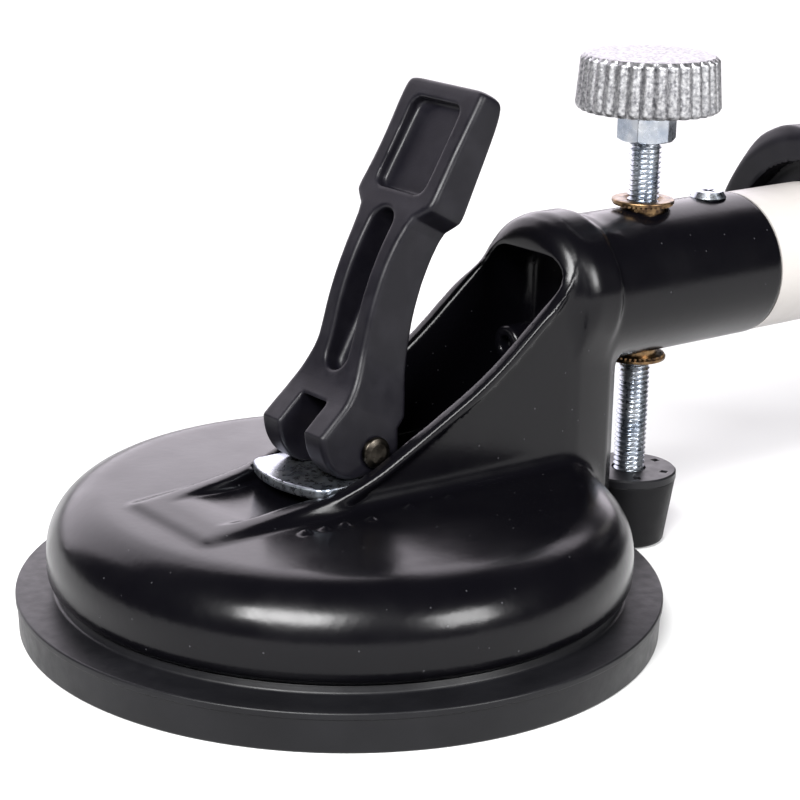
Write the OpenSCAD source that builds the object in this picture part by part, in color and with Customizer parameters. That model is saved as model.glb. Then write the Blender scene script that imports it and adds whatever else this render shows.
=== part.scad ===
// Two-cup suction seam setter: a pair of cam-lever suction cups on a telescoping tube,
// a centre hand nut that draws the cups together, and a levelling screw beside each cup.
// The origin is the centre of the left cup's pad, on the surface it stands on; +X runs
// along the tube to the right cup and +Z is up.

/* [Suction cup] */
// Diameter of the rubber pad
pad_d = 150; // [140:1:160]
// Thickness of the pad at its rim
pad_rim_h = 9.4; // [8:0.2:11]
// Diameter of the cast housing's dome
dome_d = 135.6; // [130:0.2:137]
// Height of the dome's flat top
dome_top = 32; // [31:0.5:33]
// Radius of the dome's shoulder
shoulder_r = 13.2; // [12:0.2:14]
// Wall of the casting
cast_wall = 3.1; // [2.8:0.1:3.4]

/* [Lever] */
// Height of the lever's pin
pin_z = 43.5; // [43:0.1:44]
// Diameter of the lever's pin
pin_d = 6; // [5:0.5:6]
// Width over the two cam ears
ear_w = 24; // [23:0.5:25]
// Width of the slot between the ears
slot_w = 9.4; // [9:0.1:10]
// Distance from the pin to the cam plate with the lever up
cam_base = 5.8; // [5.6:0.1:6.2]
// Lift of the cam for each radian that the lever turns
cam_rise = 5.5; // [5:0.1:5.6]
// Angle that the lever turns to lock
lever_throw = 100; // [90:1:100]
// Angle from upright at which the released lever stands
lever_lean = 28; // [24:1:30]
// Length of the lever from its pin
lever_l = 83.6; // [78:0.2:88]

/* [Tube] */
// Height of the tube's axis
tube_z = 69; // [68.5:0.5:69.5]
// Diameter of the tube
tube_d = 36.1; // [35.5:0.1:36.3]
// Diameter of the housing's socket
socket_d = 36.6; // [36.4:0.1:37.4]
// Distance from the cup's centre to the socket's mouth
socket_end = 124; // [122:1:126]
// Distance between the two cups' centres
cup_spacing = 385; // [380:1:390]

/* [Levelling screw] */
// Distance from the cup's centre to the levelling screw
screw_x = 91.2; // [90:0.2:92]
// Diameter of the levelling screw
screw_d = 8; // [7.5:0.5:8]
// Diameter of the levelling knob
knob_d = 35.8; // [32:0.2:40]
// Height of the knob's flat top
knob_top = 125; // [124:0.5:127]
// Ribs around the knob
knob_ribs = 32; // [24:1:36]

/* [Hidden] */

fine = 96;              // facets of large rounds
small = 48;             // facets of small rounds
run_gap = 0.05;         // radial clearance of a running fit
part_gap = 0.3;         // clearance between pieces that only pass each other
eps = 0.02;             // overlap that joins two solids

pad_r = pad_d / 2;
dome_r = dome_d / 2;
land_z = 11.2;          // face of the pad's raised land, under the housing
dome_low = 15;          // height of the dome's widest line
dome_in_top = dome_top - 5;
skirt_r = dome_r - 3;   // radius of the rounded bottom edge's foot

plate_t = 2.4;                          // cam plate
plate_z = pin_z - cam_base;             // top face of the cam plate
floor_z = plate_z - plate_t;            // seat of the cam plate
plate_w = 13.9;                         // half width of the cam plate
eye_w = slot_w - 2 * part_gap;          // thickness of the pull stem's eye
stem_r = eye_w / 2;                     // pull stem, no wider than the slot that it passes
stem_eye_r = 5.6;

channel_w = 17.2;                       // half width over the tower's walls
ridge_x = -46;                          // low end of the ridges
ridge_slope = 8.5;                      // slope of the low ridges
rim_slope = 28;                         // slope of the rim's lower stretch
rise_slope = 39.5;                      // slope of its upper stretch
hood_slope = 85;                        // slope of the rim where it meets the hood
rim_foot = [-7.7, 37.2];                // corner between ridge and rim, in X and Z
rim_foot_r = 60;
rim_bend = [30, 57.3];                  // corner between the rim's two stretches
rim_bend_r = 100;
rim_turn = [54, 77];                    // corner between rim and hood
rim_turn_r = 12;
rim_top = 84;                           // height at which the rim ends in the hood
lip_h = 3;                              // depth of the lip along the rim
lip_out = 1;                            // how far the lip stands out from the wall
tower_back = 75;                        // rear face of the tower
hood_x = 54.5;                          // front face of the hood
hood_r = socket_d / 2 + 2;              // outer radius of the hood
hood_round = 6;                         // rounding of the hood's front
trough_w = channel_w - cast_wall;       // half width inside the trough
trough_top = 80.5;                      // inside height of the hood
trough_end = 66;                        // rear wall of the trough
trough_start = -14;                     // where the trough's floor begins
trough_roof_r = 7;                      // rounding of the trough's roof

bore_r = 15;                            // socket bore and tube spigot
bore_start = 72;
spigot_l = 23;
insert_r = 5.5;
flange_r = 7.75;
flange_t = 1.4;
insert_lift = 0.7;                      // gap under an insert's flange
nut_af = 13;                            // M8 nut across flats
nut_h = 6.5;
knob_h = 13.5;
foot_top_r = 12;
foot_low_r = 9.7;
foot_clear = 0.4;                       // foot above the surface
foot_lid_z = 17.4;
foot_lid_t = 2;

journal_r = 15;                         // left tube's bearing for the hand nut
nut_x0 = 152;                           // hand nut from here
nut_x1 = 212;                           // to here
nut_shoulder = 168;                     // its inner shoulder
nut_thread_r = 17;                      // right tube's threaded end
right_end = 198;                        // left end of the right tube
right_shoulder = 234;                   // where its thread stops
guide_r = 12.5;
guide_x0 = 104;
guide_x1 = 258;
key_x = 248;
key_w = 4;
washer_t = 1.6;

// Points of an arc about [cx, cy], from angle a0 to a1, in n steps
function arc(cx, cy, r, a0, a1, n = 12) =
    [for (i = [0 : n]) [cx + r * cos(a0 + (a1 - a0) * i / n), cy + r * sin(a0 + (a1 - a0) * i / n)]];

// Extrudes a side view drawn in X and Z to the width w, centred on y = 0
module side_plate(w) rotate([90, 0, 0]) linear_extrude(w, center = true, convexity = 6) children();

// A round bar along X from x0 to x1 at the tube's height
module tube_bar(r, x0, x1, f = fine)
    translate([x0, 0, tube_z]) rotate([0, 90, 0]) cylinder(r = r, h = x1 - x0, $fn = f);

// ---- Housing -------------------------------------------------------------------------

// Outer profile of the dome: rounded foot, upright side, shoulder and slightly crowned top
function dome_outline() = concat(
    [[0, land_z], [skirt_r - 1, land_z]],
    arc(dome_r - 3.8, land_z + 3.8, 3.8, -80, 0, 6),
    arc(dome_r - shoulder_r, dome_top - shoulder_r, shoulder_r, 4, 88, 14),
    [[0, dome_top + 1]]);

module dome_solid() rotate_extrude($fn = fine) polygon(dome_outline());

module dome_hollow() rotate_extrude($fn = fine)
    polygon(concat([[0, land_z - 1], [58, land_z - 1], [58, 16]],
        arc(49, dome_in_top - 9, 9, 0, 90, 8), [[0, dome_in_top]]));

// Arc that rounds the corner c between the directions a0 and a1 to the radius r, moved by d
function bend_arc(c, r, a0, a1, d, n) = let (
    t = r * tan((a1 - a0) / 2),
    centre = [c[0] - t * cos(a0) - r * sin(a0), c[1] - t * sin(a0) + r * cos(a0)])
    [for (i = [0 : n]) let (a = a0 + (a1 - a0) * i / n) centre + (r + d) * [sin(a), -cos(a)]];

// The rim's crest in side view, moved into the wall by d: ridge, bend, long slope, turn
function rim_line(d = 0) = concat(
    [[ridge_x, rim_foot[1] + (ridge_x - rim_foot[0]) * tan(ridge_slope)]
        + d * [sin(ridge_slope), -cos(ridge_slope)]],
    bend_arc(rim_foot, rim_foot_r, ridge_slope, rim_slope, d, 8),
    bend_arc(rim_bend, rim_bend_r, rim_slope, rise_slope, d, 6),
    bend_arc(rim_turn, rim_turn_r, rise_slope, hood_slope, d, 8),
    [[rim_turn[0] + (rim_top - rim_turn[1]) / tan(hood_slope), rim_top]
        + d * [sin(hood_slope), -cos(hood_slope)]]);

function reversed(list) = [for (i = [len(list) - 1 : -1 : 0]) list[i]];

module tower_side() polygon(concat(
    [[ridge_x, dome_top - 3]], rim_line(),
    [[hood_x, tube_z + 17], [hood_x + 9.5, tube_z + 17], [tower_back + 9, tube_z - 8]],
    arc(tower_back + 11, tube_z - 27, 11, 100, 180, 6),
    [[tower_back, 12], [60, 12], [50, dome_top - 3]]));

module lip_side() polygon(concat(rim_line(), reversed(rim_line(lip_h))));

// Plan of the tower, inset by w: ridges that spread, parallel walls and a tapered rear
module tower_plan(w = 0) {
    half = concat(
        [[ridge_x, 13.2 - w], [-23, 14.4 - w], [-8, 16.4 - w], [14, channel_w - w]],
        arc(hood_x, channel_w - 6, 6 - w, 90, 70, 3),
        arc(tower_back - 5, 9, 5 - w, 70, 0, 6));
    polygon(concat(half, [for (p = reversed(half)) [p[0], -p[1]]]));
}

// Section across the tower: open below, as round as the socket above
module arch() rotate([90, 0, 90]) linear_extrude(160, center = true) {
    translate([-30, 0]) square([60, tube_z + 4]);
    translate([0, tube_z]) circle(r = socket_d / 2 + 0.3, $fn = fine);
}

// Walls of the tower, with the lip that stands out along their rim
module tower_solid() intersection() {
    arch();
    union() {
        intersection() {
            side_plate(60) tower_side();
            translate([0, 0, 5]) linear_extrude(100) tower_plan();
        }
        intersection() {
            side_plate(60) lip_side();
            translate([0, 0, 5]) linear_extrude(100) tower_plan(-lip_out);
        }
    }
}

// The trough that the lever leans into, with rounded corners under the hood
module trough() {
    long = trough_end - trough_start;
    flat_w = trough_w - trough_roof_r;
    intersection() {
        translate([0, 0, floor_z]) linear_extrude(80) tower_plan(cast_wall);
        translate([trough_start, 0, 0]) union() {
            translate([0, -30, floor_z]) cube([long, 60, trough_top - trough_roof_r - floor_z]);
            translate([0, -flat_w, floor_z]) cube([long, 2 * flat_w, trough_top - floor_z]);
            for (s = [-1, 1]) translate([0, s * flat_w, trough_top - trough_roof_r])
                rotate([0, 90, 0]) cylinder(r = trough_roof_r, h = long, $fn = small);
        }
    }
    // between the ridges the valley follows the dome's own top
    translate([0, 0, dome_top + 0.4]) linear_extrude(30) polygon([[ridge_x - 1, 9.6], [-23, 10.9],
        [-13, 12.6], [-13, -12.6], [-23, -10.9], [ridge_x - 1, -9.6]]);
    // pocket round the cam plate
    translate([0, 0, floor_z]) linear_extrude(30) plate_outline(part_gap);
}

// Outline of the cam plate, grown by g: bowed front and straight sides
module plate_outline(g = 0) intersection() {
    translate([7, 0]) circle(r = 26.3 + g, $fn = fine);
    translate([-24, -plate_w - g]) square([38 + g, 2 * (plate_w + g)]);
}

// Socket with the hood flared round its front end
module socket_solid() {
    tube_bar(socket_d / 2, hood_x + 5, socket_end);
    translate([0, 0, tube_z]) rotate([0, 90, 0]) rotate_extrude($fn = fine)
        polygon(concat([[0, hood_x], [hood_r - hood_round, hood_x]],
            arc(hood_r - hood_round, hood_x + hood_round, hood_round, -90, 0, 8),
            [[hood_r, hood_x + 8], [socket_d / 2 - 0.4, hood_x + 13.5], [0, hood_x + 13.5]]));
}

// Cast boss on the trough's rear wall
module core_boss() translate([trough_end - 18, 0, tube_z - 10.5]) rotate([0, 90, 0]) difference() {
    cylinder(r = 4.5, h = 19, $fn = small);
    translate([0, 0, -1]) cylinder(r = 2, h = 4, $fn = small);
}

module housing() color("#1b1b20") {
    difference() {
        union() {
            dome_solid();
            tower_solid();
            intersection() {
                socket_solid();
                translate([hood_x - 6, -40, tube_z - 19]) cube([90, 80, 60]);
            }
            // seat of the cam plate
            translate([0, 0, dome_top - 2]) cylinder(r = 13, h = floor_z - dome_top + 2, $fn = fine);
        }
        dome_hollow();
        trough();
        tube_bar(bore_r, bore_start, socket_end + 1);
        // guide for the pull stem
        translate([0, 0, dome_in_top - 1]) cylinder(r = stem_r + run_gap, h = 20, $fn = small);
        // holes for the two threaded inserts
        translate([screw_x, 0, 40]) cylinder(r = insert_r, h = 60, $fn = small);
        // hole for the lock screw
        translate([lock_x, 0, tube_z]) cylinder(r = lock_r, h = 30, $fn = small);
    }
    core_boss();
}

// ---- Pad and core --------------------------------------------------------------------

core_z = 6;             // top of the pad's web
core_t = 3;
core_r = 50;
cone_h = 5;             // cone under the pull stem
stem_foot_z = core_z + core_t + cone_h - eps;

module rubber_pad() color("#18181a") rotate_extrude($fn = fine)
    polygon([[0, 0], [60, 0], [60.8, 1.2], [63.2, 1.2], [64, 0], [67, 0], [67.8, 1.2], [70.2, 1.2],
        [71, 0], [pad_r - 0.8, 0], [pad_r - 0.4, pad_rim_h - 1.6], [pad_r, pad_rim_h - 1.4],
        [pad_r, pad_rim_h - 0.3], [pad_r - 0.4, pad_rim_h], [skirt_r + 1, pad_rim_h],
        [skirt_r + 0.4, land_z], [56, land_z], [53, core_z], [0, core_z]]);

module core_plate() color("#8f9296") translate([0, 0, core_z]) {
    difference() {
        cylinder(r = core_r, h = core_t, $fn = fine);
        for (a = [0 : 60 : 300]) rotate(a) translate([34, 0, -1]) cylinder(r = 4, h = core_t + 2, $fn = small);
    }
    translate([0, 0, core_t - eps]) cylinder(r1 = 15, r2 = 9, h = cone_h, $fn = small);
}

// Stem from the core plate to the lever's pin, with an eye round the pin
module pull_stem() color("#a9acb0") difference() {
    union() {
        translate([0, 0, stem_foot_z]) cylinder(r = stem_r, h = pin_z - stem_foot_z, $fn = small);
        translate([0, eye_w / 2, pin_z]) rotate([90, 0, 0]) cylinder(r = stem_eye_r, h = eye_w, $fn = small);
    }
    translate([0, 20, pin_z]) rotate([90, 0, 0]) cylinder(d = pin_d, h = 40, $fn = small);
}

// Zinc-plated bearing plate under the cams, with a hole for the stem
module cam_plate() color("#c3c7cb") translate([0, 0, floor_z]) linear_extrude(plate_t) difference() {
    plate_outline();
    circle(r = stem_r + 0.4, $fn = small);
}

// ---- Lever ---------------------------------------------------------------------------

// The cam is drawn about the pin with the lever upright as it stands when released. Its
// support distance grows evenly with the angle, h(a) = cam_base + cam_rise * a, so the
// contour is an involute: at each angle the point lies h along the normal and the rise
// along the tangent. The plunger therefore lifts by the same amount for every degree.
function cam_point(a) = let (h = cam_base + cam_rise * a * PI / 180)
    [-h * sin(a) - cam_rise * cos(a), -h * cos(a) + cam_rise * sin(a)];
// The contour stops 10 degrees short of the throw, and the lever turns those last degrees
// on the corner where it stops.
cam_end = lever_throw - 10;
cam_curve = [for (i = [0 : 20]) cam_point(i * cam_end / 20)];

// A point of the lever: s along it from the pin, n towards its front
function lever_point(s, n) = [s * sin(lever_lean) - n * cos(lever_lean),
    s * cos(lever_lean) + n * sin(lever_lean)];
function lever_points(list) = [for (p = list) lever_point(p[0], p[1])];

front_line = [[3, 13.6], [7, 12.1], [12, 11.2], [18, 11.5], [23, 12.6], [28, 13.8], [33, 14.6], [38, 15.1],
    [44, 15.1], [51, 14.2], [55, 13.5], [60, 13], [68, 12.6], [lever_l - 1.6, 12.3], [lever_l - 0.4, 11.5]];
back_line = [[lever_l, 8.4], [lever_l - 1.8, 6.4], [70, 5], [58, 4.5], [51, 4.6], [44, 4], [38, 3.2],
    [31, 1.8], [24, -0.8], [17, -3.4], [10, -5.6]];

// Side view: cam, bowed front, back, and the heel that stands on the plate
module lever_side() polygon(concat(cam_curve, lever_points(front_line), lever_points(back_line),
    [[7.4, 4], [7.4, -3.6], [5.2, -cam_base], [-cam_rise, -cam_base]]));

neck_w = 8.7;           // half width of the neck
head_w = 13.3;          // half width of the head

// Front view: ears that draw in to the neck, and a head with rounded corners
module lever_front() {
    half = concat([[-25, ear_w / 2], [6, ear_w / 2], [10, ear_w / 2 - 0.8], [14, neck_w + 1.5],
        [18, neck_w + 0.4], [22, neck_w], [50, neck_w], [53.4, head_w - 1], [54.6, head_w - 0.3],
        [68, head_w - 0.6]],
        [for (p = arc(head_w - 3, lever_l - 3, 3, 0, 90, 6)) [p[1], p[0]]]);
    polygon(concat([for (p = half) [p[1], p[0]]], [for (p = reversed(half)) [-p[1], p[0]]]));
}

// Slot with round ends, cut from the lever's front: r half wide, from z0 to z1
module long_slot(r, z0, z1) {
    translate([-30, -r, z0 + r]) cube([30, 2 * r, z1 - z0 - 2 * r]);
    for (z = [z0 + r, z1 - r]) translate([-30, 0, z]) rotate([0, 90, 0]) cylinder(r = r, h = 30, $fn = small);
}

// Recess with rounded corners, cut from the lever's front: w half wide, from z0 to z1
module recess(w, z0, z1, r) {
    translate([-30, -w, z0 + r]) cube([30, 2 * w, z1 - z0 - 2 * r]);
    translate([-30, r - w, z0]) cube([30, 2 * (w - r), z1 - z0]);
    for (s = [-1, 1], z = [z0 + r, z1 - r]) translate([-30, s * (w - r), z])
        rotate([0, 90, 0]) cylinder(r = r, h = 30, $fn = small);
}

module lever() color("#19191c") translate([0, 0, pin_z]) difference() {
    intersection() {
        side_plate(2 * head_w) lever_side();
        rotate([0, lever_lean, 0]) translate([-40, 0, 0]) rotate([90, 0, 90]) linear_extrude(80) lever_front();
    }
    // bearing for the pin
    translate([0, 20, 0]) rotate([90, 0, 0]) cylinder(r = pin_d / 2 + run_gap, h = 40, $fn = small);
    // slot between the ears
    translate([-30, -slot_w / 2, -20]) cube([60, slot_w, 31]);
    // long slot in the neck's front and the recess in the head's front
    rotate([0, lever_lean, 0]) {
        translate([-6.5, 0, 0]) long_slot(3.8, 13.5, 52);
        translate([-11, 0, 0]) recess(8.4, 56.4, lever_l - 5, 2.4);
    }
}

module lever_pin() color("#9a948a") translate([0, 0, pin_z]) rotate([90, 0, 0]) {
    translate([0, 0, -13.8]) cylinder(d = pin_d, h = 26.2, $fn = small);
    translate([0, 0, 12.3]) cylinder(d1 = pin_d + 1.4, d2 = pin_d + 0.6, h = 1.4, $fn = small);
}

// Spring clip in the pin's far end
module pin_clip() color("#b8babd") translate([0, 12.4, pin_z]) rotate([-90, 0, 0]) difference() {
    cylinder(r = 5, h = 0.9, $fn = small);
    translate([0, 0, -1]) cylinder(d = pin_d, h = 3, $fn = small);
    translate([-1.6, -8, -1]) cube([3.2, 8, 3]);
}

// ---- Levelling screw -----------------------------------------------------------------

// A threaded insert with its flange on top, drawn with the flange's underside at z = 0
module insert_body(depth) difference() {
    union() {
        translate([0, 0, -depth]) cylinder(r = insert_r, h = depth + eps, $fn = small);
        cylinder(r = flange_r, h = flange_t, $fn = small);
    }
    translate([0, 0, -depth - 1]) cylinder(r = screw_d / 2 + run_gap, h = depth + flange_t + 2, $fn = small);
}

upper_z = tube_z + socket_d / 2 + insert_lift;
lower_z = tube_z - socket_d / 2 - insert_lift;

module upper_insert() color("#c8a24a") translate([screw_x, 0, upper_z]) insert_body(7);
module lower_insert() color("#c8a24a") translate([screw_x, 0, lower_z]) mirror([0, 0, 1]) insert_body(7);

nut_top = knob_top - knob_h - 1;

module level_screw() color("#d3d6da") translate([screw_x, 0, 12])
    cylinder(d = screw_d, h = knob_top - 5 - 12, $fn = small);

module jam_nut() color("#cfd2d6") translate([screw_x, 0, nut_top - nut_h]) difference() {
    rotate(30) intersection() {
        cylinder(d = nut_af / cos(30), h = nut_h, $fn = 6);
        rotate_extrude($fn = small) polygon([[0, 0], [6.6, 0], [7.6, 0.8], [7.6, nut_h - 0.8],
            [6.6, nut_h], [0, nut_h]]);
    }
    translate([0, 0, -1]) cylinder(d = screw_d, h = nut_h + 2, $fn = small);
}

module level_knob() color("#c6c8ca") translate([screw_x, 0, knob_top - knob_h]) difference() {
    union() {
        rotate_extrude($fn = fine) polygon([[0, 0], [knob_d / 2 - 2, 0], [knob_d / 2 - 0.6, 0.8],
            [knob_d / 2 - 0.6, knob_h - 1.4], [knob_d / 2 - 1.8, knob_h], [0, knob_h]]);
        for (i = [0 : knob_ribs - 1]) rotate(i * 360 / knob_ribs)
            translate([knob_d / 2 - 1.6, 0, 0.6]) cylinder(r = 1.6, h = knob_h - 1.8, $fn = 16);
        translate([0, 0, -1]) cylinder(r = 8, h = 2, $fn = small);
    }
    translate([0, 0, -2]) cylinder(d = screw_d, h = knob_h - 5 + 2, $fn = small);
}

module foot() color("#1d1d1f") translate([screw_x, 0, 0]) difference() {
    union() {
        rotate_extrude($fn = small) polygon([[0, foot_clear], [foot_low_r - 1, foot_clear],
            [foot_low_r, foot_clear + 1], [foot_top_r, foot_lid_z], [0, foot_lid_z]]);
    }
    translate([0, 0, 11.8]) cylinder(d = screw_d + 0.8, h = 20, $fn = small);
}

// Moulded lid on the foot, with a ring of small square slots
module foot_lid() color("#232327") translate([screw_x, 0, foot_lid_z]) difference() {
    rotate_extrude($fn = small) polygon([[screw_d / 2 + 0.4, 0], [foot_top_r + 0.1, 0],
        [foot_top_r + 0.1, foot_lid_t - 0.4], [foot_top_r - 0.3, foot_lid_t], [screw_d / 2 + 0.4, foot_lid_t]]);
    for (a = [0 : 60 : 300]) rotate(a) translate([8.4, -0.9, 0.6]) cube([1.8, 1.8, 3]);
}

// ---- Tube, hand nut and locks --------------------------------------------------------

lock_x = 114;
lock_r = 3;

module lock_screw() color("#b9bcc0") translate([lock_x, 0, 0]) difference() {
    union() {
        translate([0, 0, tube_z + bore_r - 1.2]) cylinder(r = lock_r, h = socket_d / 2 - bore_r + 1.4, $fn = small);
        translate([0, 0, tube_z + socket_d / 2 + 0.05]) cylinder(r1 = 4.6, r2 = 3.6, h = 1.5, $fn = small);
    }
    for (a = [0, 90]) rotate(a) translate([-2, -0.5, tube_z + socket_d / 2 + 0.9]) cube([4, 1, 2]);
}

// Fixed tube: spigot in the socket, painted body, bearing for the hand nut
module left_tube() color("#e9e5e1") difference() {
    union() {
        tube_bar(bore_r, socket_end - spigot_l, socket_end + eps);
        tube_bar(tube_d / 2, socket_end, nut_x0 - washer_t - 0.2);
        tube_bar(journal_r, nut_x0 - washer_t - 0.3, nut_shoulder + 4.6);
    }
    tube_bar(guide_r, socket_end - spigot_l - 1, nut_shoulder + 6);
    translate([lock_x, 0, tube_z + bore_r - 1.2]) cylinder(r = lock_r, h = 6, $fn = small);
    // groove for the retaining ring
    translate([nut_shoulder + 0.3, 0, tube_z]) rotate([0, 90, 0]) difference() {
        cylinder(r = journal_r + 1, h = 1.5, $fn = fine);
        translate([0, 0, -1]) cylinder(r = journal_r - 1, h = 4, $fn = fine);
    }
}

// Sliding tube: threaded end in the hand nut, painted body, spigot in the right socket
right_mouth = cup_spacing - socket_end;
module right_tube() color("#e9e5e1") difference() {
    union() {
        tube_bar(nut_thread_r, right_end, right_shoulder + eps);
        tube_bar(tube_d / 2, right_shoulder, right_mouth);
        tube_bar(bore_r, right_mouth - eps, right_mouth + spigot_l);
    }
    tube_bar(guide_r + run_gap, right_end - 1, right_mouth + spigot_l + 1);
    translate([cup_spacing - lock_x, 0, tube_z + bore_r - 1.2]) cylinder(r = lock_r, h = 6, $fn = small);
    translate([key_x, 0, tube_z]) cylinder(r = key_w / 2, h = 30, $fn = small);
}

module guide_tube() color("#b4b7bb") difference() {
    tube_bar(guide_r, guide_x0, guide_x1);
    tube_bar(guide_r - 2, guide_x0 - 1, guide_x1 + 1);
    // keyway, open at its end
    translate([key_x - 23, -key_w / 2 - 0.1, tube_z]) cube([60, key_w + 0.2, 30]);
}

// Hand nut: a threaded hub with one broad lobe that overhangs the tube and two short ones
lobe_flat = 31;         // distance of a lobe's two flats from the axis
lobe_spread = 33;       // angle of a flat from the lobe's centre line
lobe_r = 33.5;          // radius over the rounded edge between the flats
lobe_w = 21;            // half width of a lobe
lobe_x0 = 149.5;
lobe_x1 = 214;
short_x0 = 186;
hub_r = 20.4;
collar_r = 17.6;        // seat of the thrust washer
lobe_turn = 26;         // the long lobe stands off the vertical by this angle

// Section of a lobe, pointing up: two flats with a rounded edge between them
module lobe_section() intersection() {
    circle(r = lobe_r, $fn = fine);
    translate([-lobe_w, 10]) square([2 * lobe_w, 40]);
    for (a = [-lobe_spread, lobe_spread]) rotate(a) translate([-60, -60]) square([120, 60 + lobe_flat]);
}

// Turned outline of the nut, highest at its left end
module nut_envelope() translate([0, 0, tube_z]) rotate([0, 90, 0]) rotate_extrude($fn = fine)
    polygon([[0, lobe_x0], [29, lobe_x0], [31.6, lobe_x0 + 0.8], [lobe_r + 0.2, lobe_x0 + 3.4],
        [33, 157], [30.6, 165], [28.8, 175], [28, 190], [27.6, 208], [26.8, 212], [25, lobe_x1], [0, lobe_x1]]);

// A lobe from x0 to the nut's right end, turned by a from the vertical
module lobe(a, x0) translate([x0, 0, tube_z]) rotate([-a, 0, 0]) rotate([90, 0, 90])
    linear_extrude(lobe_x1 - x0) lobe_section();

module hand_nut() color("#17171a") difference() {
    union() {
        tube_bar(hub_r, nut_x0 + 4, nut_x1);
        tube_bar(collar_r, nut_x0, nut_x0 + 4 + eps);
        intersection() {
            nut_envelope();
            union() {
                lobe(lobe_turn, lobe_x0);
                for (a = [120, 240]) lobe(lobe_turn + a, short_x0);
            }
        }
    }
    tube_bar(journal_r + run_gap, nut_x0 - 20, nut_x1 + 20);
    tube_bar(nut_thread_r + run_gap, nut_shoulder, nut_x1 + 20);
    // the long lobe stands clear of the tube and the washer
    tube_bar(tube_d / 2 + 1.2, nut_x0 - 20, nut_x0);
    tube_bar_ring(collar_r, hub_r + 3, nut_x0 - 1, nut_x0 + 4);
}

// A ring along X between two radii
module tube_bar_ring(r0, r1, x0, x1) difference() {
    tube_bar(r1, x0, x1);
    tube_bar(r0, x0 - 1, x1 + 1);
}

module thrust_washer() color("#a58d4a") difference() {
    tube_bar(journal_r + 2.6, nut_x0 - washer_t - 0.1, nut_x0 - 0.1);
    tube_bar(journal_r + 0.1, nut_x0 - 10, nut_x0 + 10);
}

module retaining_ring() color("#55585c") difference() {
    tube_bar(journal_r + 1.5, nut_shoulder + 0.4, nut_shoulder + 1.6);
    tube_bar(journal_r - 1, nut_x0, nut_x1);
    translate([nut_shoulder - 5, -2, tube_z - 30]) cube([20, 4, 30]);
}

module key_screw() color("#b9bcc0") translate([key_x, 0, tube_z]) difference() {
    union() {
        translate([0, 0, guide_r - 1.6]) cylinder(r = key_w / 2, h = tube_d / 2 - guide_r + 1.7, $fn = small);
        translate([0, 0, tube_d / 2 + 0.05]) cylinder(r1 = 3.8, r2 = 3, h = 1.3, $fn = small);
    }
    translate([-3, -0.45, tube_d / 2 + 0.8]) cube([6, 0.9, 2]);
}

// ---- Assembly ------------------------------------------------------------------------

module right_side() translate([cup_spacing, 0, 0]) mirror([1, 0, 0]) children();

housing();  // left_housing
rubber_pad();  // left_rubber_pad
core_plate();  // left_core_plate
pull_stem();  // left_pull_stem
cam_plate();  // left_cam_plate
lever();  // left_lever
lever_pin();  // left_lever_pin
pin_clip();  // left_pin_clip
upper_insert();  // left_upper_insert
lower_insert();  // left_lower_insert
level_screw();  // left_level_screw
jam_nut();  // left_jam_nut
level_knob();  // left_level_knob
foot();  // left_foot
foot_lid();  // left_foot_lid
lock_screw();  // left_lock_screw
left_tube();
right_side() housing();  // right_housing
right_side() rubber_pad();  // right_rubber_pad
right_side() core_plate();  // right_core_plate
right_side() pull_stem();  // right_pull_stem
right_side() cam_plate();  // right_cam_plate
right_side() lever();  // right_lever
right_side() lever_pin();  // right_lever_pin
right_side() pin_clip();  // right_pin_clip
right_side() upper_insert();  // right_upper_insert
right_side() lower_insert();  // right_lower_insert
right_side() level_screw();  // right_level_screw
right_side() jam_nut();  // right_jam_nut
right_side() level_knob();  // right_level_knob
right_side() foot();  // right_foot
right_side() foot_lid();  // right_foot_lid
right_side() lock_screw();  // right_lock_screw
right_tube();
guide_tube();
hand_nut();
thrust_washer();
retaining_ring();
key_screw();
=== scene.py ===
"""Looks of a two-cup suction seam setter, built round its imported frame.

Shapes are worked out in millimetres and put into meshes in metres. The left cup stands at the
origin, the tube runs along +X and the right cup is the left one's mirror image.
"""
import logging
import math
from collections.abc import Callable
from dataclasses import dataclass, field
from enum import Enum

import bpy
import numpy as np
from mathutils import Matrix, Vector


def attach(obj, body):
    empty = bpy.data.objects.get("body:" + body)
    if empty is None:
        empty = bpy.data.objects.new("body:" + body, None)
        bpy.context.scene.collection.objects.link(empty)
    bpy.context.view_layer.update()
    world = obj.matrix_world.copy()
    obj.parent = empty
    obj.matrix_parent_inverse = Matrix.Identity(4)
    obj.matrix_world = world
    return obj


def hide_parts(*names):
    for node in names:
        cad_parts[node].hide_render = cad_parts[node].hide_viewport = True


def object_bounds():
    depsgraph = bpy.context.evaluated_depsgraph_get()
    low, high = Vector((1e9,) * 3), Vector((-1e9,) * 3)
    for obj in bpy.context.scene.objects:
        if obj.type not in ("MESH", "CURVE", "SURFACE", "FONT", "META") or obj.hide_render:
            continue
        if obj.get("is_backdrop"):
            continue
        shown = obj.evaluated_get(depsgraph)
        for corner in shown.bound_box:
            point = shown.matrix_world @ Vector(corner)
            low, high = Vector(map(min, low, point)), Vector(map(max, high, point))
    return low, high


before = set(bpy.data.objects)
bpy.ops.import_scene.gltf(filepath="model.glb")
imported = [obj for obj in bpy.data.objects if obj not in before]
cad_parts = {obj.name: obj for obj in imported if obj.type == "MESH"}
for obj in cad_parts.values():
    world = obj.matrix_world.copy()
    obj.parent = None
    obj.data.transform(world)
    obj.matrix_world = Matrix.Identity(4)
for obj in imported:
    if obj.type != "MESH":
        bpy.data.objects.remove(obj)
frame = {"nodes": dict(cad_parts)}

Array = np.ndarray
Socket = bpy.types.NodeSocket
MM = 0.001
LOG = logging.getLogger("seam_setter")


# ---- Node materials ----


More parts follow.
